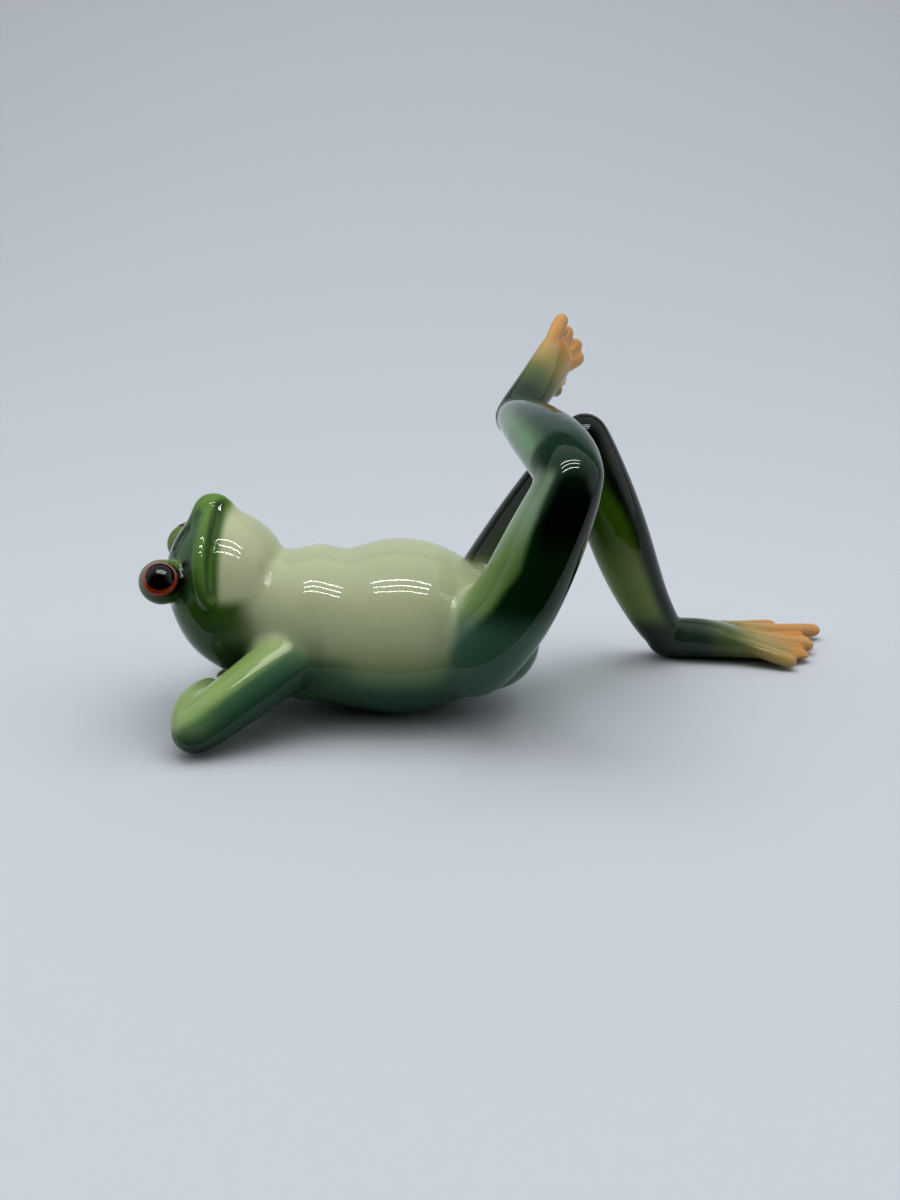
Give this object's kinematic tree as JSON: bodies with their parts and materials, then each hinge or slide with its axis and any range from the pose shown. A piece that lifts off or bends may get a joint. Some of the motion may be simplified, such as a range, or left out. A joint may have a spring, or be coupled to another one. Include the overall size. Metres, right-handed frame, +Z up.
{
  "type": "reclining frog figurine",
  "caption": "Glazed porcelain tree frog lying on its back, head propped on folded arms and one leg crossed over the other knee.",
  "frame": {"origin": "centre of the flat on the frog's back that rests on the table", "axes": "+X towards the feet, +Y towards the frog's left side, +Z up from the table through the belly"},
  "size_m": [0.1823, 0.0988, 0.0933],
  "materials": {
    "torso_glaze": "gloss glaze",
    "head_glaze": "gloss glaze",
    "eye_glaze": "gloss glaze",
    "arm_glaze": "gloss glaze",
    "hand_glaze": "gloss glaze",
    "thigh_glaze": "gloss glaze",
    "shin_glaze": "gloss glaze",
    "foot_glaze": "gloss glaze"
  },
  "bodies": {
    "root": {"torso_shell": "torso_glaze", "head_shell": "head_glaze", "eye_right": "eye_glaze", "eye_left": "eye_glaze", "upper_arm_right": "arm_glaze", "upper_arm_left": "arm_glaze", "forearm_right": "arm_glaze", "forearm_left": "arm_glaze", "hand_right": "hand_glaze", "hand_left": "hand_glaze", "thigh_right": "thigh_glaze", "thigh_left": "thigh_glaze", "shin_right": "shin_glaze", "shin_left": "shin_glaze", "foot_right": "foot_glaze", "foot_left": "foot_glaze"}
  },
  "joints": []
}
